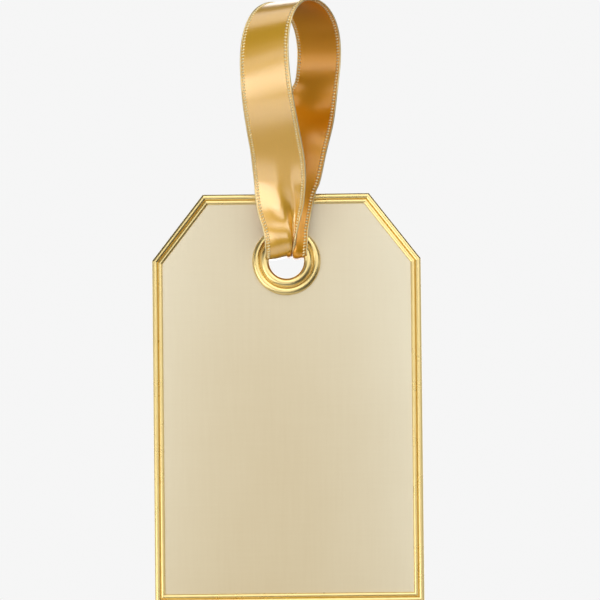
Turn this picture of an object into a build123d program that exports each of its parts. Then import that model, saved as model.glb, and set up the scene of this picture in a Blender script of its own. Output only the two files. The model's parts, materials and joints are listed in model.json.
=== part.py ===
"""Gift tag: a pearl card in a beaded brass rim, hung by a satin ribbon loop through a brass eyelet.

Millimetres. The tag hangs: +Z is up and its face looks along -Y. The origin is the hang point, on the
inner side of the ribbon loop's crest.
"""

from build123d import *
from math import cos, pi, radians, sin, sqrt, tan
import os

# Card
tag_width = 46.0
tag_height = 70.05
corner_cut_width = 8.75
corner_cut_height = 11.25
core_thickness = 1.2
sheet_thickness = 0.3
eyelet_drop = 11.5          # from the tag's top edge down to the eyelet's centre

# Rim, a rolled strip crimped round the card's edge
rim_side_wall = 0.4
outer_bead_width = 0.95
outer_bead_rise = 0.45
inner_bead_width = 0.8
inner_bead_rise = 0.32
bead_groove_rise = 0.06
rim_back_width = 1.2
rim_back_rise = 0.3
rim_shoulder = 0.1          # how far below the card's faces the side wall ends

# Eyelet and its washer
eyelet_bore = 6.0
barrel_wall = 0.35
barrel_clearance = 0.05
lip_roll_radius = 0.75
flange_diameter = 10.4
flange_thickness = 0.5
flange_bevel = 0.6
flange_lead_in = 0.35
washer_diameter = 11.7
washer_web = 0.3
washer_gap = 0.05           # between the rolled lip and the washer's bead
washer_crown_share = 0.42   # of the bead's width, that its crown stands up

# Ribbon
ribbon_width = 10.0
ribbon_thickness = 0.3
edge_cord = 0.6             # across the metallic cord along each edge
seam_gap = 0.06
eyelet_fall = 42.95         # from the hang point down to the eyelet's centre
loosest_pleat = 2.0         # degrees that each panel leans where the ribbon lies flat
pleat_thickening_share = 0.35
fold_shares = (0.2, 0.26, 0.26, 0.28)   # of the satin's width, for each panel of its folds
front_fold_angles = (0, 0, 97, -97)     # degrees that each panel leans in the eyelet
rear_fold_angles = (0, -94, 94, 0)
fold_depth_share = 0.4

# Loop, as it stands in front of the tag
loop_depth = 16.4
loop_yaw = 34.0             # degrees that the loop is turned from square to the tag
front_twist = 28.0          # degrees that the ribbon's width is turned, on the front leg
rear_twist = 42.0           # degrees, on the rear leg
loop_sway = 1.5             # how far the crest stands to the right of the eyelet
rear_bow = 2.4              # how far the rear leg bows back
rear_bow_power = 1.4        # higher values carry the bow's deepest place further up
bow_peak_share = 0.25       # the most that a share and its rest give when multiplied
loop_lean = 10.5            # how far the crest stands in front of the legs' feet
bulge_power = 3.2           # higher values carry the loop's widest place further up
foot_rise = 2.25            # from the lip's roll axis up to the legs' feet
foot_reach = 3.05           # from the lip's roll axis forward to the middle of the two feet
foot_shift = 0.3            # the middle of the two feet to the eyelet, sideways
foot_spread = 1.25          # each foot's middle to the middle of the two, sideways
foot_layer = 1.05           # each foot's middle to the middle of the two, front to back
# Shares of the leg's height, on the front leg and on the rear one
gather_rise_shares = (0.286, 0.33)  # up to where the folds have opened out
gather_run_shares = (0.396, 0.45)   # over which they close on the way into the eyelet
spread_rise_shares = (0.34, 0.2)    # over which the feet come together sideways
layer_rise_share = 0.34             # over which they come together front to back
twist_rise_shares = (0.19, 0.42)    # over which the width takes its full turn
lean_rise_share = 0.65
leg_step_shares = (0, 0.08, 0.15, 0.21, 0.27, 0.33, 0.39, 0.45, 0.51, 0.58, 0.66, 0.75, 0.84, 0.92)
tangent_step_share = 0.005  # of a leg, each way, over which the ribbon's direction is taken

# Strands inside the eyelet, as shares of the bore's radius: middle and size, sideways and up
front_strand_shares = (-0.33, 0.32, 0.87, 0.33)
rear_strand_shares = (0.46, 0.33, 0.62, 0.3)
bend_step_shares = (0, 0.2, 0.4, 0.6, 0.8, 1)

# Knot behind the tag and its two tails
knot_stand = 0.25           # gap between the eyelet's flange and the knot
knot_width = 9.2
knot_height = 7.2
knot_depth = 3.3
knot_wrap_width = 3.8
knot_wrap_rise = 0.35
knot_wrap_crown_share = 1.06
knot_station_shares = (-1, -0.85, -0.55, 0, 0.55, 0.85, 1)
knot_girth_shares = (0.48, 0.7, 0.89, 1, 0.89, 0.7, 0.48)
tail_length = 13.0
tail_flare = 5.5            # from the knot to where the tail has its full width
tail_root_width = 3.0
tail_stand = 0.6            # from the knot's front to the tail's middle
tail_sweep = 5.0            # degrees that the tails stand back from the tag
left_tail_droop = 24.0      # degrees below level
right_tail_droop = 16.0
tail_slant = 24.0           # degrees that the cut end is turned

# Worked out from the sizes above
card_half = core_thickness / 2 + sheet_thickness
bore_radius = eyelet_bore / 2
barrel_radius = bore_radius + barrel_wall
lip_axis_radius = bore_radius + lip_roll_radius
lip_axis_front = card_half + washer_web
flange_back = card_half + flange_thickness
washer_radius = washer_diameter / 2
washer_bead_start = lip_axis_radius + lip_roll_radius + washer_gap
washer_bead_width = washer_radius - washer_bead_start
washer_bead_rise = washer_web / 2 + washer_bead_width * washer_crown_share
rim_front_width = outer_bead_width + inner_bead_width
tag_y = foot_reach + lip_axis_front + loop_lean
eyelet_x = -loop_sway
eyelet_centre = Vector(eyelet_x, tag_y, -eyelet_fall)
lip_y = tag_y - lip_axis_front
lip_z = lip_axis_radius - eyelet_fall
foot_x = eyelet_x + foot_shift
foot_y = lip_y - foot_reach
foot_z = lip_z + foot_rise
crest_z = ribbon_thickness / 2
leg_height = crest_z - foot_z
satin_width = ribbon_width - 2 * edge_cord
bulge_peak_share = sqrt(bulge_power / (bulge_power + 1)) ** bulge_power / sqrt(bulge_power + 1)
knot_front_y = tag_y + flange_back + knot_stand
knot_z = lip_z

# The card's own plane: local X is sideways, local Y is up and local Z comes out of the tag's face
card_plane = Plane(origin=eyelet_centre, x_dir=(1, 0, 0), z_dir=(0, -1, 0))
# A half section through the eyelet: local X is the radius and local Y comes out of the tag's face
eyelet_section_plane = Plane(origin=eyelet_centre, x_dir=(1, 0, 0), z_dir=(0, 0, -1))
eyelet_axis = Axis(eyelet_centre, (0, -1, 0))


def card_outline():
    """The tag's outline from the middle of its bottom edge, with its two cut top corners."""
    half = tag_width / 2
    top = eyelet_drop
    bottom = eyelet_drop - tag_height
    right = [(half, bottom), (half, top - corner_cut_height), (half - corner_cut_width, top)]
    left = [(-x, y) for x, y in reversed(right)]
    return [(0, bottom)] + right + left


def card_layer(thickness, front, hole_radius):
    """One layer of the card, held inside the rim, with its front face at the given height."""
    with BuildPart() as layer:
        with BuildSketch(card_plane.offset(front - thickness)):
            with BuildLine():
                Polyline(*card_outline(), close=True)
            make_face()
            offset(amount=-rim_side_wall, kind=Kind.INTERSECTION)
            Circle(hole_radius, mode=Mode.SUBTRACT)
        extrude(amount=thickness)
    return layer.part


def ease(share):
    """Go from 0 to 1 with level ends."""
    held = min(max(share, 0), 1)
    return held * held * (3 - 2 * held)


def loop_rise_share(turn):
    """How far up its leg a place on the loop is. Turn runs from -1, the front foot, to 1, the rear foot."""
    return sin((1 - abs(turn)) * pi / 2) ** 2


def on_leg(shares, turn):
    """The share that holds on the leg that a place is on."""
    return shares[0] if turn < 0 else shares[1]


def loop_point(turn):
    """The middle of the ribbon at a place on the loop, a teardrop that leans forward off the tag."""
    side = -1 if turn < 0 else 1
    quarter = (1 - abs(turn)) * pi / 2
    rise_share = loop_rise_share(turn)
    bulge_share = sin(quarter) ** bulge_power * cos(quarter) / bulge_peak_share
    bulge = side * bulge_share * loop_depth / 2
    spread_share = 1 - ease(rise_share / on_leg(spread_rise_shares, turn))
    layer_share = 1 - ease(rise_share / layer_rise_share)
    x = bulge * sin(radians(loop_yaw)) + side * foot_spread * spread_share
    y = foot_y + bulge * cos(radians(loop_yaw)) + side * foot_layer * layer_share
    sway = foot_x * (1 - ease(rise_share))
    lean = loop_lean * ease(rise_share / lean_rise_share)
    bow_share = rise_share ** rear_bow_power
    bow = rear_bow * bow_share * (1 - bow_share) / bow_peak_share if turn > 0 else 0
    return Vector(x + sway, y - lean + bow, foot_z + leg_height * rise_share)


def loop_plane(turn):
    """The ribbon's cross-section plane: local X runs along its width and local Y into the loop."""
    if abs(turn) == 1:
        along = Vector(0, 0, -turn)
    else:
        ahead = loop_point(turn + tangent_step_share)
        behind = loop_point(turn - tangent_step_share)
        along = (ahead - behind).normalized()
    middle_twist = (front_twist + rear_twist) / 2
    half_twist = (rear_twist - front_twist) / 2
    turned_share = ease(loop_rise_share(turn) / on_leg(twist_rise_shares, turn))
    twist = radians((middle_twist + half_twist * sin(turn * pi / 2)) * turned_share)
    across = Vector(cos(twist), -sin(twist), 0)
    across = (across - along * across.dot(along)).normalized()
    return Plane(origin=loop_point(turn), x_dir=across, z_dir=along)


def pleat_line(turn):
    """The creases of the gathered satin at a place on the loop, and half its thickness there."""
    closing = on_leg(gather_rise_shares, turn) - loop_rise_share(turn)
    gather_share = ease(closing / on_leg(gather_run_shares, turn))
    rear_share = (1 + sin(turn * pi / 2)) / 2
    half_thickness = ribbon_thickness / 2 * (1 + pleat_thickening_share * gather_share)
    x, y = 0, 0
    line = [(x, y)]
    ripple = loosest_pleat
    for share, front_angle, rear_angle in zip(fold_shares, front_fold_angles, rear_fold_angles):
        fold_angle = front_angle + (rear_angle - front_angle) * rear_share
        lean = radians(fold_angle * gather_share + ripple)
        x += satin_width * share * cos(lean)
        y += satin_width * share * sin(lean) * fold_depth_share
        line.append((x, y))
        ripple = -ripple
    heights = [place[1] for place in line]
    middle = (min(heights) + max(heights)) / 2
    creases = [(place_x - x / 2, place_y - middle) for place_x, place_y in line]
    return creases, half_thickness


def loop_turns():
    """Places along the loop, from the front foot over the crest to the rear foot."""
    front = [share - 1 for share in leg_step_shares]
    return front + [0] + [-turn for turn in reversed(front)]


def edge_cord_loft(side):
    """The metallic cord along one edge of the loop: side is -1 for the left edge and 1 for the right."""
    with BuildPart() as cord:
        for turn in loop_turns():
            creases = pleat_line(turn)[0]
            x, y = creases[0] if side < 0 else creases[-1]
            with BuildSketch(loop_plane(turn)):
                with Locations((x + side * (edge_cord / 2 + seam_gap), y)):
                    Rectangle(edge_cord, edge_cord)
        loft()
    return cord.part


def strand_box(shares):
    """A strand's middle and size in the bore, sideways and up, from shares of the bore's radius."""
    return [share * bore_radius for share in shares]


def strand_bend(shares, side):
    """One strand's turn over the eyelet's lip, from the bore up to the foot of its leg."""
    mid_x, mid_z, width, height = strand_box(shares)
    creases, half_thickness = pleat_line(side)
    heights = [y for x, y in creases]
    foot_width = creases[-1][0] - creases[0][0] + 2 * (edge_cord + seam_gap)
    foot_height = max(heights) - min(heights) + 2 * half_thickness
    foot = loop_point(side)
    start_x = eyelet_x + mid_x
    bore_reach = lip_axis_radius - mid_z
    foot_reach_here = lip_y - foot.Y
    with BuildPart() as bend:
        for share in bend_step_shares:
            turn = share * pi / 2
            reach = bore_reach + (foot_reach_here - bore_reach) * sqrt(share)
            centre = (
                start_x + (foot.X - start_x) * share,
                lip_y - reach * sin(turn),
                lip_z - reach * cos(turn),
            )
            forward = (0, -cos(turn), sin(turn))
            with BuildSketch(Plane(origin=centre, x_dir=(1, 0, 0), z_dir=forward)):
                Rectangle(
                    width + (foot_width - width) * share ** 2,
                    height + (foot_height - height) * share,
                )
        with BuildSketch(Plane(origin=foot, x_dir=(1, 0, 0), z_dir=(0, 0, 1))):
            Rectangle(foot_width, foot_height)
        loft(ruled=True)
    return bend.part


def strand_throat(shares):
    """One strand's stretch through the bore, from the lip to the knot."""
    mid_x, mid_z, width, height = strand_box(shares)
    with BuildPart() as throat:
        with BuildSketch(card_plane.offset(lip_axis_front)):
            with Locations((mid_x, mid_z)):
                Rectangle(width, height)
        extrude(amount=-(lip_axis_front + flange_back + knot_stand))
    return throat.part


def knot_slice(x, height, depth):
    """A slice of the knot: flat against the tag and round behind."""
    section = Plane(origin=(eyelet_x + x, knot_front_y, knot_z), x_dir=(0, 1, 0), z_dir=(1, 0, 0))
    with BuildSketch(section) as piece:
        with BuildLine():
            arc = ThreePointArc((0, -height / 2), (depth, 0), (0, height / 2))
            Line(arc @ 1, arc @ 0)
        make_face()
    return piece.sketch


def ribbon_tail(side, droop_angle):
    """One flat tail of the ribbon, out of the knot's end: it spreads to full width and is cut on a slant."""
    droop = radians(droop_angle)
    sweep = radians(tail_sweep)
    root = Vector(eyelet_x + side * knot_width / 2, knot_front_y + tail_stand, knot_z)
    outward = (side * cos(sweep), sin(sweep), 0)
    tail_plane = Plane(origin=root, x_dir=outward, z_dir=(sin(sweep), -side * cos(sweep), 0))
    half_root = tail_root_width / 2
    half_width = ribbon_width / 2
    cut_run = half_width * tan(radians(tail_slant))

    def place(run, offset):
        return (run * cos(droop) + offset * sin(droop), offset * cos(droop) - run * sin(droop))

    with BuildPart() as tail:
        with BuildSketch(tail_plane):
            with BuildLine():
                Polyline(
                    (0, -half_root),
                    place(tail_flare, -half_width),
                    place(tail_length + cut_run, -half_width),
                    place(tail_length - cut_run, half_width),
                    place(tail_flare, half_width),
                    (0, half_root),
                    close=True,
                )
            make_face()
        extrude(amount=ribbon_thickness / 2, both=True)
    return tail.part


# Card: front sheet, board and back sheet, all on the eyelet's barrel
barrel_hole_radius = barrel_radius + barrel_clearance
front_sheet = card_layer(sheet_thickness, card_half, barrel_hole_radius)
core_board = card_layer(core_thickness, core_thickness / 2, barrel_hole_radius)
back_sheet = card_layer(sheet_thickness, -core_thickness / 2, barrel_hole_radius)

# Rim: one strip with two beads in front and a folded lip behind, mitred at the corners
with BuildPart() as metal_rim:
    rim_start = card_plane.from_local_coords((0, eyelet_drop - tag_height, 0))
    rim_plane = Plane(origin=rim_start, x_dir=(0, 0, 1), z_dir=(1, 0, 0))
    with BuildLine(card_plane) as rim_path:
        Polyline(*card_outline(), close=True)
    with BuildSketch(rim_plane) as rim_section:
        with BuildLine():
            inner_bead = ThreePointArc(
                (rim_front_width, card_half),
                (outer_bead_width + inner_bead_width / 2, card_half + inner_bead_rise),
                (outer_bead_width, card_half + bead_groove_rise),
            )
            outer_bead = ThreePointArc(
                inner_bead @ 1,
                (outer_bead_width / 2, card_half + outer_bead_rise),
                (0, card_half - rim_shoulder),
            )
            side = Line(outer_bead @ 1, (0, rim_shoulder - card_half))
            back_lip = ThreePointArc(
                side @ 1,
                (rim_back_width / 2, -card_half - rim_back_rise),
                (rim_back_width, -card_half),
            )
            Polyline(
                back_lip @ 1,
                (rim_side_wall, -card_half),
                (rim_side_wall, card_half),
                (rim_front_width, card_half),
            )
        make_face()
    sweep(path=rim_path.wires()[0], transition=Transition.RIGHT)

# Eyelet: barrel, lip rolled over the washer in front, bevelled flange behind
with BuildPart() as eyelet:
    lip_inside = lip_roll_radius - barrel_wall
    flange_radius = flange_diameter / 2
    with BuildSketch(eyelet_section_plane):
        with BuildLine():
            roll_outside = ThreePointArc(
                (bore_radius, lip_axis_front),
                (lip_axis_radius, lip_axis_front + lip_roll_radius),
                (lip_axis_radius + lip_roll_radius, lip_axis_front),
            )
            Polyline(
                roll_outside @ 1,
                (lip_axis_radius + lip_inside, lip_axis_front),
                (lip_axis_radius, lip_axis_front + lip_inside),
                (barrel_radius, lip_axis_front),
                (barrel_radius, -card_half),
                (flange_radius, -card_half),
                (flange_radius - flange_bevel, -flange_back),
                (barrel_radius, -flange_back),
                (bore_radius, -flange_back + flange_lead_in),
                roll_outside @ 0,
            )
        make_face()
    revolve(axis=eyelet_axis)

# Washer: a flat web under the rolled lip and a round bead outside it
with BuildPart() as eyelet_washer:
    with BuildSketch(eyelet_section_plane):
        with BuildLine():
            web = Polyline(
                (washer_radius, card_half),
                (barrel_hole_radius, card_half),
                (barrel_hole_radius, lip_axis_front),
                (washer_bead_start, lip_axis_front),
            )
            ThreePointArc(
                web @ 1,
                (washer_radius - washer_bead_width / 2, card_half + washer_bead_rise),
                web @ 0,
            )
        make_face()
    revolve(axis=eyelet_axis)

# Ribbon loop: one band of satin, pleated where it is gathered towards the eyelet
with BuildPart() as ribbon_loop:
    for turn in loop_turns():
        creases, half_thickness = pleat_line(turn)
        inner_side = [(x, y + half_thickness) for x, y in creases]
        outer_side = [(x, y - half_thickness) for x, y in reversed(creases)]
        with BuildSketch(loop_plane(turn)):
            with BuildLine():
                Polyline(*inner_side, *outer_side, close=True)
            make_face()
    loft()

ribbon_edge_left = edge_cord_loft(-1)
ribbon_edge_right = edge_cord_loft(1)
ribbon_bend = Compound([strand_bend(front_strand_shares, -1), strand_bend(rear_strand_shares, 1)])
ribbon_throat = Compound([strand_throat(front_strand_shares), strand_throat(rear_strand_shares)])

# Knot: a rounded bundle that the eyelet can't swallow, with one turn of ribbon wrapped round it
with BuildPart() as ribbon_knot:
    for station, girth in zip(knot_station_shares, knot_girth_shares):
        add(knot_slice(station * knot_width / 2, knot_height * girth, knot_depth * girth))
    loft(ruled=True)
    wrap_half = knot_wrap_width / 2
    wrap_height = knot_height + 2 * knot_wrap_rise
    wrap_depth = knot_depth + knot_wrap_rise
    for x, crown in ((-wrap_half, 1), (0, knot_wrap_crown_share), (wrap_half, 1)):
        add(knot_slice(x, wrap_height, wrap_depth * crown))
    loft(ruled=True)

ribbon_tail_left = ribbon_tail(-1, left_tail_droop)
ribbon_tail_right = ribbon_tail(1, right_tail_droop)

pieces = {
    "front_sheet": front_sheet,
    "core_board": core_board,
    "back_sheet": back_sheet,
    "metal_rim": metal_rim.part,
    "eyelet": eyelet.part,
    "eyelet_washer": eyelet_washer.part,
    "ribbon_loop": ribbon_loop.part,
    "ribbon_edge_left": ribbon_edge_left,
    "ribbon_edge_right": ribbon_edge_right,
    "ribbon_bend": ribbon_bend,
    "ribbon_throat": ribbon_throat,
    "ribbon_knot": ribbon_knot.part,
    "ribbon_tail_left": ribbon_tail_left,
    "ribbon_tail_right": ribbon_tail_right,
}

os.makedirs("parts", exist_ok=True)
for name, piece in pieces.items():
    piece.label = name
    export_step(piece, f"parts/{name}.step")
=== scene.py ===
"""Looks of a gift tag: a pearl card in a beaded gold rim, hung by a knotted satin ribbon loop.

Metres, in the part's own frame: +Z is up, the tag's face looks along -Y, and the origin is the hang point.
"""

import json
from math import cos, pi, radians, sin

import bpy
import numpy as np
from bpy.props import FloatProperty, FloatVectorProperty, PointerProperty
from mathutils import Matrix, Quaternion, Vector


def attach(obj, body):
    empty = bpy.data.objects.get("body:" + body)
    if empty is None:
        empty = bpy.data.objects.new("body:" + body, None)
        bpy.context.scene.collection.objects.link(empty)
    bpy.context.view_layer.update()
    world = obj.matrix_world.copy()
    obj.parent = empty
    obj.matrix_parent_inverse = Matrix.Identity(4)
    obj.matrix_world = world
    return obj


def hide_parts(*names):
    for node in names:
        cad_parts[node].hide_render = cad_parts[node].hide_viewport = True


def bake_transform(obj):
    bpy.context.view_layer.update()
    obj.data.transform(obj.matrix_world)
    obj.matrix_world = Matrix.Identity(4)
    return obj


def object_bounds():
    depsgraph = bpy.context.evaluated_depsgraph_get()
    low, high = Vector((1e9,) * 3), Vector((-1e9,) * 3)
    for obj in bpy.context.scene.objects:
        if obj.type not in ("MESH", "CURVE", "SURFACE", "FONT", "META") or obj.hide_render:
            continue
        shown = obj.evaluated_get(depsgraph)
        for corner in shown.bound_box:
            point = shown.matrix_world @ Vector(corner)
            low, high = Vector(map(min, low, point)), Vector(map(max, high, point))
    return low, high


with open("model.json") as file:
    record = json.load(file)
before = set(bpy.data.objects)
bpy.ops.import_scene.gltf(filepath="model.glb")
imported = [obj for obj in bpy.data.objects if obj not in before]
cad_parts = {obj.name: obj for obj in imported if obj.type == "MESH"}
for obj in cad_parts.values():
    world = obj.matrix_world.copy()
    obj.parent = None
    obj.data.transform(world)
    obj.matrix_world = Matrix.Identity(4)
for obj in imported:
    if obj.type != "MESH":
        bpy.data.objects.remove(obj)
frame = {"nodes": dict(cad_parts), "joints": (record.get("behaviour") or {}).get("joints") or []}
cad_low, cad_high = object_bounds()

bl_info = {
    "name": "Gift tag",
    "version": (1, 0, 0),
    "blender": (4, 5, 0),
    "location": "View3D > Sidebar > Gift tag",
    "description": "Dresses a gift tag with pearl paper, gold metal and a satin ribbon",
    "category": "Object",
}

joints = {joint["name"]: joint for joint in frame["joints"]}
lip_place = Vector(joints["tag_nod"]["pos_m"])
eyelet_place = Vector(joints["tag_turn"]["pos_m"])
mm = 0.001


# Card and finishes

CARD_HALF = (23.0 * mm, 35.0 * mm)
CARD_MIDDLE_Z = cad_low.z + CARD_HALF[1]
BOARD_COLOUR = (0.30, 0.27, 0.22)
# What is left of each channel where a finish is darkest (on the pearl, where its painted sheen is least), and
# on the satin's duller side, whose darker, redder colour is painted shade
PEARL_SHADE = (0.77, 0.69, 0.55)
BOARD_SHADE = (0.7, 0.7, 0.7)
GOLD_SHADE = (0.9, 0.84, 0.74)
SATIN_SHADE = (0.88, 0.86, 0.7)
SATIN_BACK_PAINTED_SHADE = (0.9, 0.72, 0.25)
THREAD_SHADE = (0.75, 0.7, 0.6)
# The pearl's tone: where it starts; how much a painted sheen pales it upwards, to both sides and to the
# right;
# and how much its slow drift and its fine lines pale it
PEARL_TONE = 0.08
PEARL_PAINTED_SHEEN_UP = 0.26
PEARL_PAINTED_SHEEN_SIDES = 0.55
PEARL_PAINTED_SHEEN_RIGHT = 0.16
PEARL_DRIFT = 0.3
PEARL_LINES = 0.2
# How much of a fine pattern comes from each of its two directions
FIRST_LINES = 0.6
SECOND_LINES = 0.4
# How much the gold's fine grain adds to the height of its rolling marks
GRAIN_SHARE = 0.2

# Ribbon

CORD_RADIUS = 0.14 * mm
CREST_Z = 0.15 * mm
FOOT_RISE = 2.25 * mm
FOOT_Z = lip_place.z + FOOT_RISE
LEG_HEIGHT = CREST_Z - FOOT_Z
FOOT_REACH = 3.05 * mm
FOOT_SHIFT = 0.3 * mm
FOOT_SPREAD = 1.25 * mm
FOOT_LAYER = 1.05 * mm
REAR_BOW = 2.4 * mm
REAR_BOW_POWER = 1.4
BOW_PEAK = 0.25  # the most that a share and its rest give when multiplied
REAR_TUCK = 0.75 * mm
CREST_TWIST = radians(10)
CREST_TWIST_POWER = 3
# Shares of the leg's height, on the front leg and on the rear one
SPREAD_RISE_SHARES = (0.34, 0.2)
TWIST_FOOT_SHARES = (0.0, 0.38)
TWIST_RISE_SHARES = (0.19, 0.68)
GATHER_RISE_SHARES = (0.33, 0.33)
GATHER_RUN_SHARES = (0.46, 0.37)
# Shares of the leg's height, where the rear leg's tuck has come in, and where it goes out again
TUCK_IN_SHARE = 0.4
TUCK_OUT_RUN_SHARE = 0.25
TUCK_OUT_SHARE = 0.68
LAYER_RISE_SHARE = 0.34
LEAN_RISE_SHARE = 0.65
# Each strand in the hole: sideways and up from the eyelet's centre
FRONT_STRAND = (-1.3 * mm, 0.8 * mm)
REAR_STRAND = (1.25 * mm, 1.0 * mm)
STRAND_TILT = 0.24
TILT_TOP = 0.35 * mm
TILT_RUN = 3.0 * mm
BEND_DROP = 3.0 * mm
BEND_PUSH = 2.4 * mm
THROAT_RUN = 4.6 * mm
# The folds across the ribbon, as shares of its width and how far each panel leans when it is gathered
FOLD_SHARES = (0.2, 0.26, 0.26, 0.28)
FRONT_FOLD_ANGLES = (radians(-20), 0.0, radians(97), radians(-97))
REAR_FOLD_ANGLES = (radians(50), radians(-94), radians(94), radians(-50))
FOLD_DEPTH_SHARE = 0.4
FOLD_ROUND_SHARE = 0.14
# How finely the ribbon is worked out
LOOP_TURNS = 401
STRAND_POINTS = 60
ROUTE_STEP = 0.35 * mm
LOOP_COLUMNS = 61

# Edge stitches

STITCH_MARGIN = 1.4 * mm
STITCH_INSET = 0.5 * mm
STITCH_LEAN = radians(20)
STITCH_SHAPE = (0.68, 1.0, 0.85)

# Knot and tails

DOWN = radians(-90)
KNOT_PLACE = np.array(eyelet_place) + np.array((0.2, 3.1, 4.45)) * mm
KNOT_HALF = np.array((4.0, 1.35, 3.0)) * mm
KNOT_UNDER = {"turn": radians(62), "half_run": 3.0 * mm, "width": 6.6 * mm, "lift": 0.05 * mm}
KNOT_OVER = {"turn": radians(-24), "half_run": 4.1 * mm, "width": 5.4 * mm, "lift": 0.35 * mm}
WRAP_BEND = radians(112)
WRAP_ROWS = 61
WRAP_COLUMNS = 25
WRAP_NARROWING = 0.42
WRAP_FALL = 0.55 * mm
WRAP_PLEATS = 3.1
WRAP_PLEAT_SHIFT = 0.6
WRAP_PLEAT_HEIGHT = 0.16 * mm
WRAP_LOOSE_PLEAT_SHARE = 0.2
LUMP_ROWS = 31
LUMP_COLUMNS = 73
LUMP_SHARE = 0.94
LUMP_POWER = 0.7
LUMP_CREASES = 9
LUMP_CREASE_SHIFT = 0.7
LUMP_CREASE_SHARE = 0.045
LUMP_SKIN = 0.05 * mm
TAIL_ROWS = 41
TAIL_COLUMNS = 33
TAIL_ROOT = np.array((2.2, 0.1, -0.5)) * mm
TAIL_LENGTH = 11.5 * mm
TAIL_SLANT = 0.34
TAIL_HEADING = radians(84)  # from straight down
TAIL_DROOPS = {-1: radians(24), 1: radians(16)}
TAIL_DROOP_AT_ROOT = 0.7
TAIL_DROOP_BY_SPREAD = 0.5
TAIL_SPREAD_SHARE = 0.9
TAIL_LOOSENING = 0.72
TAIL_LIFT = 0.5 * mm
TAIL_SINK = 0.3 * mm

# Stage

# Each lamp's azimuth and elevation in degrees, distance, width, height and radiance
LAMPS = {
    "front_softbox": (16, 23, 1.0, 1.5, 0.8, 1.25),
    "top_softbox": (8, 55, 0.8, 1.2, 0.7, 1.2),
    "low_front_softbox": (-10, -25, 0.5, 0.26, 0.15, 1.5),
    "low_left_softbox": (-48, -24, 0.5, 0.42, 0.36, 2.15),
    "under_left_softbox": (-85, -47, 0.4, 0.2, 0.1, 1.05),
    "side_left_softbox": (-88, 13, 0.5, 0.14, 0.08, 1.6),
    "high_left_softbox": (-114, 54, 0.6, 0.44, 0.18, 0.95),
    "back_softbox": (180, 10, 1.0, 1.0, 0.9, 1.9),
}
# Elevations between which the studio comes up or dies away
BAND_IN = (radians(-8), radians(-3))
BAND_OUT = (radians(6), radians(2))
GLOW_IN = (radians(-30), radians(-10))
GLOW_OUT = (radians(20), radians(5))
STUDIO_GLOW = 0.1
STUDIO_LOW_GLOW = 0.01
STUDIO_DIM = 0.08
BACKDROP_GREY = (0.92, 0.92, 0.92, 1.0)
FLOOR_GREY = (0.86, 0.86, 0.86, 1.0)
FLOOR_GLOW = (0.5, 0.5, 0.5, 1.0)
FLOOR_MIRRORED_SHARE = 0.3
BLACK = (0.0, 0.0, 0.0, 1.0)
FLOOR_HALF = 0.36
FLOOR_DROP = 0.36
FLOOR_FADE = (0.12, 0.34)
SENSOR_WIDTH = 36.0
LEVEL_LOOK = radians(90)
CAMERA_PITCH = radians(1.8)
CAMERA_ROLL = radians(0.6)
CAMERA_AIM = eyelet_place + Vector((2.03, 0, -6.68)) * mm


# Settings


class TAG_PG_ribbon(bpy.types.PropertyGroup):
    """Sizes of the ribbon and of the loop that it stands in."""

    width: FloatProperty(
        name="Width", description="Across the ribbon and its two edge cords",
        default=10.0 * mm, unit="LENGTH", precision=5,
    )
    thickness: FloatProperty(
        name="Thickness", description="Of the satin", default=0.16 * mm, unit="LENGTH", precision=5,
    )
    loop_depth: FloatProperty(
        name="Loop depth", description="Across the loop at its widest",
        default=16.4 * mm, unit="LENGTH", precision=5,
    )
    loop_yaw: FloatProperty(
        name="Loop yaw", description="Turn of the loop from square to the tag",
        default=radians(34), subtype="ANGLE",
    )
    front_twist: FloatProperty(
        name="Front twist", description="Turn of the ribbon's width on the front leg",
        default=radians(28), subtype="ANGLE",
    )
    rear_twist: FloatProperty(
        name="Rear twist", description="Turn of the ribbon's width on the rear leg",
        default=radians(42), subtype="ANGLE",
    )
    lean: FloatProperty(
        name="Lean", description="How far the crest stands in front of the legs' feet",
        default=10.5 * mm, unit="LENGTH", precision=5,
    )
    bulge_power: FloatProperty(
        name="Bulge power", description="Higher values carry the widest place further up", default=3.2,
    )
    bead_pitch: FloatProperty(
        name="Bead pitch", description="From one edge stitch to the next",
        default=0.52 * mm, unit="LENGTH", precision=5,
    )
    bead_size: FloatProperty(
        name="Bead size", description="Across one edge stitch", default=0.66 * mm, unit="LENGTH", precision=5,
    )
    satin_colour: FloatVectorProperty(
        name="Satin", description="Colour of the ribbon", subtype="COLOR", size=3, min=0, max=1,
        default=(0.97, 0.52, 0.01),
    )
    bead_colour: FloatVectorProperty(
        name="Edge stitch", description="Colour of the metallic edge", subtype="COLOR", size=3, min=0, max=1,
        default=(0.98, 0.82, 0.45),
    )


class TAG_PG_card(bpy.types.PropertyGroup):
    """Colours of the card and its metal."""

    pearl_colour: FloatVectorProperty(
        name="Pearl", description="Colour of the cover sheets", subtype="COLOR", size=3, min=0, max=1,
        default=(0.88, 0.79, 0.57),
    )
    gold_colour: FloatVectorProperty(
        name="Gold", description="Colour of the rim and the eyelet", subtype="COLOR", size=3, min=0, max=1,
        default=(0.87, 0.70, 0.32),
    )


class TAG_PG_stage(bpy.types.PropertyGroup):
    """The camera's distance and view."""

    camera_distance: FloatProperty(
        name="Camera distance", description="From the camera to the card", default=0.7, unit="LENGTH",
    )
    view_width: FloatProperty(
        name="View width", description="Width of the picture at the card", default=102.9 * mm,
        unit="LENGTH", precision=5,
    )


# Shader sums


def socket_named(sockets, key):
    """A socket by its place, its identifier or its name."""
    if isinstance(key, int):
        return sockets[key]
    for socket in sockets:
        if socket.identifier == key:
            return socket
    return sockets[key]


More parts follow.
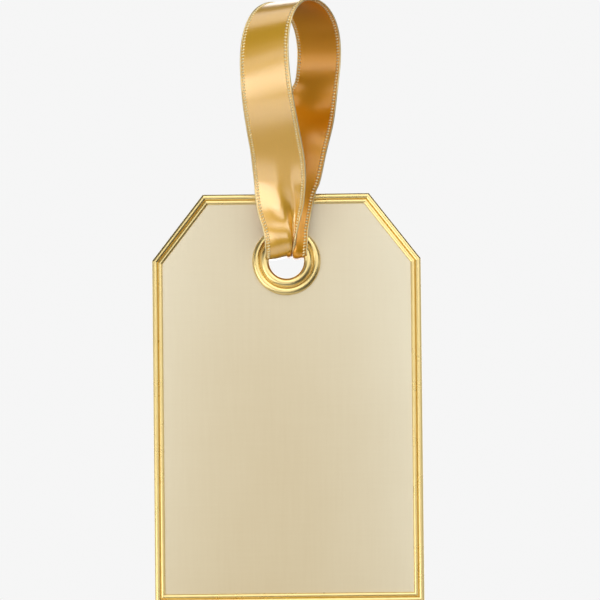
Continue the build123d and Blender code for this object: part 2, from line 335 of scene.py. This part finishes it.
class Wire:
    """A node's output. Python's operators on it add Math nodes to its tree."""

    def __init__(self, tree, socket):
        self.tree = tree
        self.socket = socket

    def math(self, operation, first, second=0.0):
        return add_node(self.tree, "ShaderNodeMath", {"operation": operation}, {0: first, 1: second})

    def __add__(self, other):
        return self.math("ADD", self, other)

    def __radd__(self, other):
        return self.math("ADD", other, self)

    def __sub__(self, other):
        return self.math("SUBTRACT", self, other)

    def __rsub__(self, other):
        return self.math("SUBTRACT", other, self)

    def __mul__(self, other):
        return self.math("MULTIPLY", self, other)

    def __rmul__(self, other):
        return self.math("MULTIPLY", other, self)


def add_node(tree, kind, settings=None, inputs=None, output=0):
    """Add a node with its settings and the values or links of its sockets, and give one of its outputs."""
    node = tree.nodes.new(kind)
    for name, value in (settings or {}).items():
        setattr(node, name, value)
    for key, value in (inputs or {}).items():
        socket = socket_named(node.inputs, key)
        if isinstance(value, Wire):
            tree.links.new(value.socket, socket)
        else:
            socket.default_value = value
    if not node.outputs:
        return None
    return Wire(tree, socket_named(node.outputs, output))


def opaque(colour):
    return (*colour, 1.0)


def shaded(colour, shares):
    """A colour with only a share of each channel left."""
    return opaque(channel * share for channel, share in zip(colour, shares))


def mix_colours(tree, factor, first, second):
    return add_node(
        tree, "ShaderNodeMix", {"data_type": "RGBA"},
        {"Factor_Float": factor, "A_Color": first, "B_Color": second}, "Result_Color",
    )


def object_place(tree):
    return add_node(tree, "ShaderNodeTexCoord", None, None, "Object")


def stretched(tree, place, scale):
    return add_node(tree, "ShaderNodeMapping", None, {"Vector": place, "Scale": scale})


def noise(tree, place, scale, detail):
    return add_node(tree, "ShaderNodeTexNoise", None, {"Vector": place, "Scale": scale, "Detail": detail})


def relief(tree, height, strength, distance):
    """Fine bumps, for a shader's Normal."""
    values = {"Strength": strength, "Distance": distance, "Height": height}
    return add_node(tree, "ShaderNodeBump", None, values, "Normal")


def card_share(tree, place, axis, middle, half):
    """How far out a place is from the card's middle along one axis: -1 and 1 are the card's edges."""
    return (add_node(tree, "ShaderNodeSeparateXYZ", None, {"Vector": place}, axis) - middle) * (1 / half)


def soft_step(value, dark, light):
    """Go softly from 0 at one value to 1 at another."""
    return add_node(
        value.tree, "ShaderNodeMapRange", {"interpolation_type": "SMOOTHSTEP"},
        {"Value": value, "From Min": dark, "From Max": light},
    )


def ray_kinds(tree):
    """Whether a ray comes straight from the camera, and whether it comes by way of a mirror or glass."""
    seen = add_node(tree, "ShaderNodeLightPath", None, None, "Is Camera Ray")
    mirrored = add_node(tree, "ShaderNodeLightPath", None, None, "Is Glossy Ray")
    refracted = add_node(tree, "ShaderNodeLightPath", None, None, "Is Transmission Ray")
    return seen, mirrored + refracted


def new_finish(name):
    """A material with an empty node tree."""
    material = bpy.data.materials.new(name)
    material.use_nodes = True
    material.node_tree.nodes.clear()
    return material, material.node_tree


def end_finish(tree, inputs):
    """Close a material with one Principled shader."""
    shader = add_node(tree, "ShaderNodeBsdfPrincipled", None, inputs)
    add_node(tree, "ShaderNodeOutputMaterial", None, {"Surface": shader})


# Materials


def pearl_paper(colour):
    """Champagne paper with a pearl coat: fine crossed lines, and a painted sheen that pales it upwards,
    outwards and to the right.
    """
    material, tree = new_finish("champagne_pearl")
    place = object_place(tree)
    upright = noise(tree, stretched(tree, place, (2600, 40, 120)), scale=1.0, detail=3.0)
    level = noise(tree, stretched(tree, place, (120, 40, 2600)), scale=1.0, detail=3.0)
    drift = noise(tree, place, scale=45.0, detail=2.0)
    lines = upright * FIRST_LINES + level * SECOND_LINES
    out = card_share(tree, place, "X", eyelet_place.x, CARD_HALF[0])
    up = card_share(tree, place, "Z", CARD_MIDDLE_Z, CARD_HALF[1])
    # Painted sheen: the colour is made paler upwards, to both sides and to the right, standing in for light
    # on the coat
    tone = up * PEARL_PAINTED_SHEEN_UP + out * out * PEARL_PAINTED_SHEEN_SIDES + out * PEARL_PAINTED_SHEEN_RIGHT
    tone = tone + drift * PEARL_DRIFT + lines * PEARL_LINES + PEARL_TONE
    end_finish(tree, {
        "Base Color": mix_colours(tree, tone, shaded(colour, PEARL_SHADE), opaque(colour)),
        "Roughness": lines * 0.08 + 0.36, "Normal": relief(tree, lines, strength=0.06, distance=0.02 * mm),
        "Coat Weight": 1.0, "Coat Roughness": 0.24, "Coat IOR": 1.5,
    })
    return material


def grey_board(colour):
    """Raw board, seen only on its edges."""
    material, tree = new_finish("raw_board")
    fibre = noise(tree, object_place(tree), scale=2200.0, detail=4.0)
    end_finish(tree, {
        "Base Color": mix_colours(tree, fibre, shaded(colour, BOARD_SHADE), opaque(colour)),
        "Roughness": fibre * 0.1 + 0.8,
        "Normal": relief(tree, fibre, strength=0.3, distance=0.05 * mm),
    })
    return material


def gold_metal(colour):
    """Polished gold with faint rolling marks and a slow wander of gloss."""
    material, tree = new_finish("polished_gold")
    place = object_place(tree)
    cloud = noise(tree, place, scale=420.0, detail=3.0)
    grain = noise(tree, place, scale=3800.0, detail=2.0)
    end_finish(tree, {
        "Base Color": mix_colours(tree, cloud, shaded(colour, GOLD_SHADE), opaque(colour)),
        "Metallic": 1.0, "Roughness": cloud * 0.06 + 0.25,
        "Normal": relief(tree, cloud + grain * GRAIN_SHARE, strength=0.02, distance=0.02 * mm),
    })
    return material


def satin(colour):
    """Gold satin: fine threads that follow the ribbon's own map, glossy on one side, dull on the other, where
    a darker, redder colour is painted shade.
    """
    material, tree = new_finish("gold_satin")
    place = add_node(tree, "ShaderNodeUVMap", {"uv_map": "ribbon"})
    warp = noise(tree, stretched(tree, place, (95, 3.5, 1)), scale=1.0, detail=2.0)
    weft = noise(tree, stretched(tree, place, (9, 62, 1)), scale=1.0, detail=2.0)
    threads = warp * FIRST_LINES + weft * SECOND_LINES
    face = mix_colours(tree, threads, shaded(colour, SATIN_SHADE), opaque(colour))
    dull_shaded = add_node(tree, "ShaderNodeAttribute", {"attribute_name": "dull_shaded_side"}, None, "Fac")
    end_finish(tree, {
        # The dull side loses gloss, and its colour is also darkened and reddened as painted shade for the
        # ribbon's inner faces
        "Base Color": mix_colours(tree, dull_shaded, face, shaded(colour, SATIN_BACK_PAINTED_SHADE)),
        "Metallic": dull_shaded * 0.15 + 0.35, "Roughness": threads * 0.08 + 0.3,
        "Normal": relief(tree, threads, strength=0.1, distance=0.03 * mm),
        "Coat Weight": 1.0 - dull_shaded * 0.75, "Coat Roughness": 0.2, "Coat IOR": 2.5,
    })
    return material


def metallic_thread(colour):
    """The thread of the edge stitches, brighter and harder than the satin."""
    material, tree = new_finish("metallic_thread")
    glint = noise(tree, object_place(tree), scale=2600.0, detail=2.0)
    end_finish(tree, {
        "Base Color": mix_colours(tree, glint, shaded(colour, THREAD_SHADE), opaque(colour)),
        "Metallic": 0.7, "Roughness": glint * 0.15 + 0.28,
        "Normal": relief(tree, glint, strength=0.25, distance=0.05 * mm),
    })
    return material


def dress(node_name, material):
    """Give a solid of the frame a new finish."""
    data = frame["nodes"][node_name].data
    data.materials.clear()
    data.materials.append(material)


def kept_finish(name, make, *values):
    """A material made once and shared by every piece that asks for it."""
    return bpy.data.materials.get(name) or make(*values)


# Ribbon's path and section


def ease(share):
    """Go from 0 to 1 with level ends."""
    held = np.clip(share, 0, 1)
    return held * held * (3 - 2 * held)


def unit(vectors):
    return vectors / np.linalg.norm(vectors, axis=-1, keepdims=True)


def run_lengths(places):
    """How far along a line each of its points is."""
    steps = np.linalg.norm(np.diff(places, axis=0), axis=1)
    return np.concatenate(([0.0], np.cumsum(steps)))


class Route:
    """Where the ribbon runs, at even steps: places, directions across it and how tightly it is gathered."""

    def __init__(self, places, across, gather, side, step):
        old_runs = run_lengths(places)
        self.runs = np.linspace(0, old_runs[-1], round(old_runs[-1] / step) + 1)

        def evened(values):
            return np.stack([np.interp(self.runs, old_runs, column) for column in values.T], axis=1)

        self.places = evened(places)
        self.along = unit(np.gradient(self.places, axis=0))
        across = evened(across)
        across = across - self.along * np.sum(across * self.along, axis=1, keepdims=True)
        self.across = unit(across)
        self.normal = np.cross(self.along, self.across)
        self.gather = np.interp(self.runs, old_runs, gather)
        self.side = np.interp(self.runs, old_runs, side)


def on_leg(shares, side):
    """The share that holds on the leg that each place is on."""
    return np.where(side < 0, *shares)


def loop_places(ribbon, turns):
    """The loop's middle line, a teardrop that leans forward off the tag: -1 is the front foot, 1 the rear."""
    side = np.sign(turns)
    rear = np.clip(side, 0, 1)
    quarter = (1 - np.abs(turns)) * pi / 2
    rise = np.sin(quarter) ** 2
    power = ribbon.bulge_power
    peak = (power / (power + 1)) ** (power / 2) / (power + 1) ** 0.5
    bulge = side * np.sin(quarter) ** power * np.cos(quarter) / peak * ribbon.loop_depth / 2
    spread = 1 - ease(rise / on_leg(SPREAD_RISE_SHARES, side))
    layer = 1 - ease(rise / LAYER_RISE_SHARE)
    sway = (eyelet_place.x + FOOT_SHIFT) * (1 - ease(rise))
    lean = ribbon.lean * ease(rise / LEAN_RISE_SHARE)
    bow = rise ** REAR_BOW_POWER
    bow = rear * REAR_BOW * bow * (1 - bow) / BOW_PEAK
    tuck = rear * REAR_TUCK * ease(rise / TUCK_IN_SHARE) * ease((TUCK_OUT_SHARE - rise) / TUCK_OUT_RUN_SHARE)
    x = bulge * sin(ribbon.loop_yaw) + side * FOOT_SPREAD * spread + sway - tuck
    y = lip_place.y - FOOT_REACH + bulge * cos(ribbon.loop_yaw) + side * FOOT_LAYER * layer - lean + bow
    return np.stack((x, y, FOOT_Z + LEG_HEIGHT * rise), axis=1)


def strand_places(foot, strand):
    """One strand from the foot of its leg over the eyelet's lip and through the hole to the knot."""
    inside = np.array((eyelet_place.x + strand[0], lip_place.y, eyelet_place.z + strand[1]))
    lower = foot - np.array((0, 0, BEND_DROP))
    before = inside - np.array((0, BEND_PUSH, 0))
    t = np.linspace(0, 1, STRAND_POINTS)[:, None]
    bend = (1 - t) ** 3 * foot + 3 * t * (1 - t) ** 2 * lower + 3 * t * t * (1 - t) * before + t ** 3 * inside
    throat = inside + np.linspace(0, 1, STRAND_POINTS // 2)[1:, None] * np.array((0, THROAT_RUN, 0))
    return np.concatenate((bend, throat))


def ribbon_route(ribbon):
    """The whole ribbon, from the knot through the hole, up the front leg, over the crest and back."""
    turns = np.linspace(-1, 1, LOOP_TURNS)
    loop = loop_places(ribbon, turns)
    front = strand_places(loop[0], FRONT_STRAND)[:0:-1]
    rear = strand_places(loop[-1], REAR_STRAND)[1:]
    places = np.concatenate((front, loop, rear))
    side = np.concatenate((-np.ones(len(front)), np.sin(turns * pi / 2), np.ones(len(rear))))
    middle = (ribbon.front_twist + ribbon.rear_twist) / 2
    half = (ribbon.rear_twist - ribbon.front_twist) / 2
    rise = (places[:, 2] - FOOT_Z) / LEG_HEIGHT
    foot_share = on_leg(TWIST_FOOT_SHARES, side)
    twist = middle + half * side + CREST_TWIST * (1 - side ** 2) ** CREST_TWIST_POWER
    twist = twist * ease((rise - foot_share) / (on_leg(TWIST_RISE_SHARES, side) - foot_share))
    tilt = -side * STRAND_TILT * ease((lip_place.z + TILT_TOP - places[:, 2]) / TILT_RUN)
    across = np.stack((np.cos(twist), -np.sin(twist), tilt), axis=1)
    gather = ease((on_leg(GATHER_RISE_SHARES, side) - rise) / on_leg(GATHER_RUN_SHARES, side))
    return Route(places, across, gather, side, ROUTE_STEP)


def fold_angles(angles, columns):
    """The section's direction across the ribbon: straight lengths with soft folds between them."""
    place = np.linspace(0, 1, columns)
    turned = np.full(columns, angles[0])
    for end, before, after in zip(np.cumsum(FOLD_SHARES), angles, angles[1:]):
        turned = turned + (after - before) * ease((place - end) / FOLD_ROUND_SHARE + 0.5)
    return turned


def folded_section(width, gather, side, columns):
    """The ribbon's cross-section: flat where it is loose, and pleated where it is gathered."""
    rear_share = (1 + side) / 2
    front = fold_angles(FRONT_FOLD_ANGLES, columns)
    rear = fold_angles(REAR_FOLD_ANGLES, columns)
    angle = gather * (front + (rear - front) * rear_share)
    step = width / (columns - 1)
    middle = (angle[1:] + angle[:-1]) / 2
    x = np.concatenate(([0.0], np.cumsum(np.cos(middle)))) * step
    y = np.concatenate(([0.0], np.cumsum(np.sin(middle)))) * step * FOLD_DEPTH_SHARE
    return x - (x[0] + x[-1]) / 2, y


def strip_points(route, width, columns):
    """The ribbon's surface as rows of points along its route."""
    rows = []
    for index in range(len(route.places)):
        x, y = folded_section(width, route.gather[index], route.side[index], columns)
        row = route.places[index] + np.outer(x, route.across[index]) + np.outer(y, route.normal[index])
        rows.append(row)
    return np.array(rows)


# Meshes


def new_object(name, data):
    piece = bpy.data.objects.new(name, data)
    bpy.context.scene.collection.objects.link(piece)
    return piece


def plain_mesh(piece, name):
    """Turn an object and its modifiers into one plain mesh object."""
    graph = bpy.context.evaluated_depsgraph_get()
    data = bpy.data.meshes.new_from_object(piece.evaluated_get(graph))
    data.name = name
    old = piece.data
    piece.modifiers.clear()
    piece.data = data
    if old.users == 0:
        bpy.data.meshes.remove(old)
    return piece


def strip_mesh(name, points, runs, width, thickness, material):
    """A ribbon of real thickness over rows of points, with a map along and across it."""
    rows, columns = points.shape[:2]
    faces = []
    for row in range(rows - 1):
        for column in range(columns - 1):
            corner = row * columns + column
            faces.append((corner, corner + 1, corner + columns + 1, corner + columns))
    data = bpy.data.meshes.new(name)
    data.from_pydata([tuple(point) for point in points.reshape(-1, 3)], [], faces)
    layer = data.uv_layers.new(name="ribbon")
    across = np.linspace(0, 1, columns)
    for loop in data.loops:
        row, column = divmod(loop.vertex_index, columns)
        layer.data[loop.index].uv = (across[column], runs[row] / width)
    for polygon in data.polygons:
        polygon.use_smooth = True
    data.materials.append(material)
    piece = new_object(name, data)
    wall = piece.modifiers.new("wall", "SOLIDIFY")
    wall.thickness = thickness
    wall.offset = 0.0
    plain_mesh(piece, name)
    # Marks the inner face: the dull side, which the satin also darkens with painted shade
    dull_shaded = piece.data.attributes.new("dull_shaded_side", "FLOAT", "POINT")
    dull_shaded.data.foreach_set("value", np.repeat((0.0, 1.0), rows * columns).astype(np.float32))
    return piece


# Edge stitches by Geometry Nodes


def stitch_tree():
    """Stitches at an even pitch along an edge, each one a bead that leans across it."""
    tree = bpy.data.node_groups.new("edge_stitches", "GeometryNodeTree")
    sockets = {}
    for name, kind in (
        ("Edge", "NodeSocketGeometry"), ("Pitch", "NodeSocketFloat"), ("Size", "NodeSocketVector"),
        ("Lean", "NodeSocketFloat"), ("Inset", "NodeSocketFloat"), ("Cord", "NodeSocketFloat"),
        ("Finish", "NodeSocketMaterial"),
    ):
        sockets[name] = tree.interface.new_socket(name, in_out="INPUT", socket_type=kind).identifier
    tree.interface.new_socket("Stitches", in_out="OUTPUT", socket_type="NodeSocketGeometry")
    group = tree.nodes.new("NodeGroupInput")
    given = {name: Wire(tree, socket_named(group.outputs, key)) for name, key in sockets.items()}
    edge = add_node(tree, "GeometryNodeMeshToCurve", None, {"Mesh": given["Edge"]})
    across = add_node(
        tree, "GeometryNodeInputNamedAttribute", {"data_type": "FLOAT_VECTOR"}, {"Name": "across"},
    )
    inset = add_node(
        tree, "ShaderNodeVectorMath", {"operation": "SCALE"}, {0: across, "Scale": given["Inset"] * -1.0},
    )
    seam = add_node(tree, "GeometryNodeSetPosition", None, {"Geometry": edge, "Offset": inset})
    spaced = add_node(
        tree, "GeometryNodeResampleCurve", {"mode": "LENGTH"}, {"Curve": seam, "Length": given["Pitch"]},
    )
    tangent = add_node(tree, "GeometryNodeInputTangent")
    facing = add_node(
        tree, "FunctionNodeAlignRotationToVector", {"axis": "X", "pivot_axis": "AUTO"}, {"Vector": tangent},
    )
    turned = add_node(
        tree, "FunctionNodeAlignRotationToVector", {"axis": "Y", "pivot_axis": "X"},
        {"Rotation": facing, "Vector": across},
    )
    lean = add_node(tree, "ShaderNodeCombineXYZ", None, {"Z": given["Lean"]})
    leaning = add_node(
        tree, "FunctionNodeRotateRotation", {"rotation_space": "LOCAL"},
        {"Rotation": turned, "Rotate By": lean},
    )
    ball = add_node(tree, "GeometryNodeMeshUVSphere", None, {"Segments": 10, "Rings": 6, "Radius": 0.5})
    smooth = add_node(tree, "GeometryNodeSetShadeSmooth", None, {"Geometry": ball, "Shade Smooth": True})
    beads = add_node(
        tree, "GeometryNodeInstanceOnPoints", None,
        {"Points": spaced, "Instance": smooth, "Rotation": leaning, "Scale": given["Size"]},
    )
    ring = add_node(
        tree, "GeometryNodeCurvePrimitiveCircle", None, {"Resolution": 8, "Radius": given["Cord"]},
    )
    cord = add_node(tree, "GeometryNodeCurveToMesh", None, {"Curve": edge, "Profile Curve": ring})
    both = tree.nodes.new("GeometryNodeJoinGeometry")
    tree.links.new(beads.socket, both.inputs[0])
    tree.links.new(cord.socket, both.inputs[0])
    real = add_node(tree, "GeometryNodeRealizeInstances", None, {"Geometry": Wire(tree, both.outputs[0])})
    finished = add_node(
        tree, "GeometryNodeSetMaterial", None, {"Geometry": real, "Material": given["Finish"]},
    )
    add_node(tree, "NodeGroupOutput", None, {"Stitches": finished})
    return tree


def edge_lines(name, edges):
    """Edges of ribbons as lines, each with the direction across its ribbon."""
    points = []
    links = []
    directions = []
    for line, across in edges:
        start = len(points)
        points.extend(tuple(point) for point in line)
        directions.extend(across)
        links.extend((start + index, start + index + 1) for index in range(len(line) - 1))
    data = bpy.data.meshes.new(name)
    data.from_pydata(points, links, [])
    layer = data.attributes.new("across", "FLOAT_VECTOR", "POINT")
    layer.data.foreach_set("vector", np.array(directions, dtype=np.float32).ravel())
    return new_object(name, data)


def stitched(name, edges, ribbon):
    """The metallic stitches along some ribbon edges, as one plain mesh."""
    piece = edge_lines(name, edges)
    group = bpy.data.node_groups.get("edge_stitches") or stitch_tree()
    modifier = piece.modifiers.new("stitches", "NODES")
    modifier.node_group = group
    values = {
        "Pitch": ribbon.bead_pitch,
        "Size": tuple(ribbon.bead_size * share for share in STITCH_SHAPE),
        "Lean": STITCH_LEAN,
        "Inset": STITCH_INSET,
        "Cord": CORD_RADIUS,
        "Finish": kept_finish("metallic_thread", metallic_thread, tuple(ribbon.bead_colour)),
    }
    for item in group.interface.items_tree:
        if item.in_out == "INPUT" and item.name in values:
            modifier[item.identifier] = values[item.name]
    return plain_mesh(piece, name)


def strip_edges(points):
    """Both edges of a ribbon's surface, with the direction out of it there."""
    left = (points[:, 0], unit(points[:, 0] - points[:, 1]))
    right = (points[:, -1], unit(points[:, -1] - points[:, -2]))
    return [left, right]


# Knot and tails


def heading_pair(heading):
    """The directions along and across a strip that lies in the card's plane."""
    return np.array((cos(heading), 0, sin(heading))), np.array((-sin(heading), 0, cos(heading)))


def wrap_points(wrap):
    """A turn of ribbon pulled tight over the back of the knot and tucked in at both ends."""
    across = np.linspace(-0.5, 0.5, WRAP_COLUMNS)
    ahead, sideways = heading_pair(wrap["turn"])
    wave = np.cos(across * 2 * pi * WRAP_PLEATS + WRAP_PLEAT_SHIFT) * WRAP_PLEAT_HEIGHT
    rows = []
    for angle in np.linspace(-WRAP_BEND, WRAP_BEND, WRAP_ROWS):
        tuck = sin(angle) ** 2
        width = wrap["width"] * (1 - WRAP_NARROWING * tuck)
        pleat = wave * (WRAP_LOOSE_PLEAT_SHARE + (1 - WRAP_LOOSE_PLEAT_SHARE) * tuck)
        crown = (KNOT_HALF[1] + wrap["lift"]) * cos(angle) - (2 * across) ** 2 * WRAP_FALL * abs(cos(angle))
        run = (wrap["half_run"] + wrap["lift"] + pleat * tuck) * sin(angle)
        row = KNOT_PLACE + np.outer(run, ahead) + np.outer(across * width, sideways)
        row[:, 1] += crown + pleat * (1 - tuck)
        rows.append(row)
    return np.array(rows)


def lump_points():
    """The bunched ribbon inside the knot."""
    around = np.linspace(0, 2 * pi, LUMP_COLUMNS)
    rows = []
    for angle in np.linspace(-pi / 2, pi / 2, LUMP_ROWS):
        girth = cos(angle) ** LUMP_POWER
        ring = np.stack((
            np.cos(around) * girth, np.full_like(around, sin(angle)), np.sin(around) * girth,
        ), axis=1)
        crease = 1 + LUMP_CREASE_SHARE * np.cos(around * LUMP_CREASES + LUMP_CREASE_SHIFT) * cos(angle)
        rows.append(KNOT_PLACE + ring * KNOT_HALF * crease[:, None] * LUMP_SHARE)
    return np.array(rows)


def tail_points(ribbon, side):
    """One end of the ribbon, fanned out from the knot and cut at a slant."""
    columns = np.linspace(-0.5, 0.5, TAIL_COLUMNS)
    root = KNOT_PLACE + TAIL_ROOT * np.array((side, 1, 1))
    satin_width = ribbon.width - 2 * CORD_RADIUS
    slant = 1 + side * columns * TAIL_SLANT
    rows = []
    for share in np.linspace(0, 1, TAIL_ROWS):
        spread = ease(share / TAIL_SPREAD_SHARE)
        droop = TAIL_DROOPS[side] * (TAIL_DROOP_AT_ROOT + TAIL_DROOP_BY_SPREAD * spread)
        ahead, sideways = heading_pair(DOWN + side * (TAIL_HEADING - droop))
        x, y = folded_section(satin_width, 1 - TAIL_LOOSENING * spread, 1, TAIL_COLUMNS)
        lift = TAIL_LIFT * sin(share * pi) - TAIL_SINK * share
        row = root + np.outer(TAIL_LENGTH * share * slant, ahead) + np.outer(x, sideways)
        row[:, 1] += y + lift
        rows.append(row)
    return np.array(rows)


# Stage


def pale_world(scene):
    """A studio that is pale at eye level and dim above and below; the camera sees only its pale backdrop."""
    world = bpy.data.worlds.new("studio")
    scene.world = world
    world.use_nodes = True
    tree = world.node_tree
    tree.nodes.clear()
    direction = add_node(tree, "ShaderNodeTexCoord", None, None, "Generated")
    height = add_node(tree, "ShaderNodeSeparateXYZ", None, {"Vector": direction}, "Z")
    elevation = height.math("ARCSINE", height)
    band = soft_step(elevation, *BAND_IN) * soft_step(elevation, *BAND_OUT)
    glow = soft_step(elevation, *GLOW_IN) * STUDIO_GLOW + STUDIO_LOW_GLOW
    studio = soft_step(elevation, *GLOW_OUT) * glow + STUDIO_DIM
    seen, relayed = ray_kinds(tree)
    grey = add_node(tree, "ShaderNodeCombineColor", None, {0: studio, 1: studio, 2: studio}, "Color")
    tone = mix_colours(tree, seen + relayed * band, grey, BACKDROP_GREY)
    light = add_node(tree, "ShaderNodeBackground", None, {"Color": tone, "Strength": 1.0})
    add_node(tree, "ShaderNodeOutputWorld", None, {"Surface": light})


def floor_finish():
    """Pale paint that fades out into the studio, lit up for the camera and less so in mirrors."""
    material, tree = new_finish("pale_floor")
    reach = add_node(
        tree, "ShaderNodeVectorMath", {"operation": "LENGTH"}, {0: object_place(tree)}, "Value",
    )
    seen, relayed = ray_kinds(tree)
    tone = mix_colours(tree, seen + relayed * FLOOR_MIRRORED_SHARE, BLACK, FLOOR_GLOW)
    paint = add_node(tree, "ShaderNodeBsdfDiffuse", None, {"Color": FLOOR_GREY})
    glow = add_node(tree, "ShaderNodeEmission", None, {"Color": tone, "Strength": 1.0})
    lit = add_node(tree, "ShaderNodeAddShader", None, {0: paint, 1: glow})
    clear = add_node(tree, "ShaderNodeBsdfTransparent")
    mixed = add_node(tree, "ShaderNodeMixShader", None, {0: soft_step(reach, *FLOOR_FADE), 1: lit, 2: clear})
    add_node(tree, "ShaderNodeOutputMaterial", None, {"Surface": mixed})
    return material


def pale_floor():
    """A pale floor far under the tag."""
    half = FLOOR_HALF
    corners = [(-half, -half, 0), (half, -half, 0), (half, half, 0), (-half, half, 0)]
    data = bpy.data.meshes.new("floor")
    data.from_pydata(corners, [], [(0, 1, 2, 3)])
    data.materials.append(floor_finish())
    floor = new_object("floor", data)
    floor.location.z = cad_low.z - FLOOR_DROP


def softbox(name, azimuth, elevation, distance, width, height, radiance):
    """A rectangular lamp that looks at the tag, placed by its angles from the camera's side."""
    turn = radians(azimuth)
    climb = radians(elevation)
    way = Vector((sin(turn) * cos(climb), -cos(turn) * cos(climb), sin(climb)))
    data = bpy.data.lights.new(name, "AREA")
    data.shape = "RECTANGLE"
    data.size = width
    data.size_y = height
    data.energy = radiance * pi * width * height
    lamp = new_object(name, data)
    lamp.location = Vector((0, 0, 0.5 * (cad_low.z + cad_high.z))) + way * distance
    lamp.rotation_euler = (-way).to_track_quat("-Z", "Y").to_euler()
    lamp.visible_camera = False


def set_camera(scene, stage):
    """The photograph's view: square to the card, from a little below."""
    data = bpy.data.cameras.new("camera")
    data.sensor_width = SENSOR_WIDTH
    data.lens = SENSOR_WIDTH * stage.camera_distance / stage.view_width
    camera = new_object("camera", data)
    back = Vector((0, -cos(CAMERA_PITCH), -sin(CAMERA_PITCH)))
    camera.location = CAMERA_AIM + back * stage.camera_distance
    camera.rotation_euler = (LEVEL_LOOK + CAMERA_PITCH, 0, 0)
    camera.rotation_euler.rotate(Quaternion((0, 1, 0), CAMERA_ROLL))
    scene.camera = camera


# Operators


class TAG_OT_card(bpy.types.Operator):
    """Finish the card's cover sheets and its board"""

    bl_idname = "gift_tag.card"
    bl_label = "Card"

    def execute(self, context):
        card = context.scene.tag_card
        paper = kept_finish("champagne_pearl", pearl_paper, tuple(card.pearl_colour))
        board = kept_finish("raw_board", grey_board, BOARD_COLOUR)
        dress("front_sheet", paper)
        dress("back_sheet", paper)
        dress("core_board", board)
        return {"FINISHED"}


class TAG_OT_metal(bpy.types.Operator):
    """Finish the rim, the eyelet and its washer"""

    bl_idname = "gift_tag.metal"
    bl_label = "Rim and eyelet"

    def execute(self, context):
        gold = kept_finish("polished_gold", gold_metal, tuple(context.scene.tag_card.gold_colour))
        for name in ("metal_rim", "eyelet", "eyelet_washer"):
            dress(name, gold)
        return {"FINISHED"}


class TAG_OT_ribbon(bpy.types.Operator):
    """Make the ribbon loop and its edge stitches"""

    bl_idname = "gift_tag.ribbon"
    bl_label = "Ribbon loop"

    def execute(self, context):
        ribbon = context.scene.tag_ribbon
        route = ribbon_route(ribbon)
        points = strip_points(route, ribbon.width - 2 * CORD_RADIUS, LOOP_COLUMNS)
        cloth = kept_finish("gold_satin", satin, tuple(ribbon.satin_colour))
        band = strip_mesh("satin_loop", points, route.runs, ribbon.width, ribbon.thickness, cloth)
        hidden = round((THROAT_RUN + STITCH_MARGIN) / ROUTE_STEP)
        stitches = stitched("loop_edge_stitches", strip_edges(points[hidden:-hidden]), ribbon)
        for piece in (band, stitches):
            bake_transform(piece)
        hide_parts("ribbon_loop", "ribbon_bend", "ribbon_throat")
        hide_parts("ribbon_edge_left", "ribbon_edge_right")
        return {"FINISHED"}


class TAG_OT_knot(bpy.types.Operator):
    """Make the knot behind the eyelet and the ribbon's two tails"""

    bl_idname = "gift_tag.knot"
    bl_label = "Knot and tails"

    def execute(self, context):
        ribbon = context.scene.tag_ribbon
        cloth = kept_finish("gold_satin", satin, tuple(ribbon.satin_colour))
        under = wrap_points(KNOT_UNDER)
        over = wrap_points(KNOT_OVER)
        inner = lump_points()
        core = strip_mesh(
            "satin_knot", under, run_lengths(under[:, 0]), ribbon.width, ribbon.thickness, cloth,
        )
        wrap = strip_mesh(
            "satin_knot_wrap", over, run_lengths(over[:, 0]), ribbon.width, ribbon.thickness, cloth,
        )
        lump = strip_mesh("satin_knot_core", inner, run_lengths(inner[:, 0]), ribbon.width, LUMP_SKIN, cloth)
        stitches = stitched("knot_edge_stitches", strip_edges(over) + strip_edges(under), ribbon)
        for piece in (core, wrap, lump, stitches):
            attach(piece, "knot")
        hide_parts("ribbon_knot")
        for side, name in ((-1, "left"), (1, "right")):
            points = tail_points(ribbon, side)
            runs = run_lengths(points[:, TAIL_COLUMNS // 2])
            tail = strip_mesh("satin_tail_" + name, points, runs, ribbon.width, ribbon.thickness, cloth)
            edge = stitched("tail_edge_stitches_" + name, strip_edges(points), ribbon)
            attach(tail, "knot")
            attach(edge, "knot")
            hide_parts("ribbon_tail_" + name)
        return {"FINISHED"}


class TAG_OT_stage(bpy.types.Operator):
    """Set the floor, the light and the camera"""

    bl_idname = "gift_tag.stage"
    bl_label = "Stage"

    def execute(self, context):
        scene = context.scene
        scene.view_settings.view_transform = "Standard"
        pale_world(scene)
        pale_floor()
        for name, values in LAMPS.items():
            softbox(name, *values)
        set_camera(scene, scene.tag_stage)
        return {"FINISHED"}


class TAG_PT_panel(bpy.types.Panel):
    """The gift tag's pieces and settings"""

    bl_label = "Gift tag"
    bl_idname = "TAG_PT_panel"
    bl_space_type = "VIEW_3D"
    bl_region_type = "UI"
    bl_category = "Gift tag"

    def draw(self, context):
        for group in (context.scene.tag_ribbon, context.scene.tag_card, context.scene.tag_stage):
            box = self.layout.box()
            for name in group.__annotations__:
                box.prop(group, name)
        for operator in steps:
            self.layout.operator(operator.bl_idname)


steps = (TAG_OT_card, TAG_OT_metal, TAG_OT_ribbon, TAG_OT_knot, TAG_OT_stage)
classes = (TAG_PG_ribbon, TAG_PG_card, TAG_PG_stage, *steps, TAG_PT_panel)


def register():
    for item in classes:
        bpy.utils.register_class(item)
    bpy.types.Scene.tag_ribbon = PointerProperty(type=TAG_PG_ribbon)
    bpy.types.Scene.tag_card = PointerProperty(type=TAG_PG_card)
    bpy.types.Scene.tag_stage = PointerProperty(type=TAG_PG_stage)


def unregister():
    del bpy.types.Scene.tag_ribbon
    del bpy.types.Scene.tag_card
    del bpy.types.Scene.tag_stage
    for item in reversed(classes):
        bpy.utils.unregister_class(item)


def main():
    register()
    bpy.ops.gift_tag.card()
    bpy.ops.gift_tag.metal()
    bpy.ops.gift_tag.ribbon()
    bpy.ops.gift_tag.knot()
    bpy.ops.gift_tag.stage()


if __name__ == "__main__":
    main()
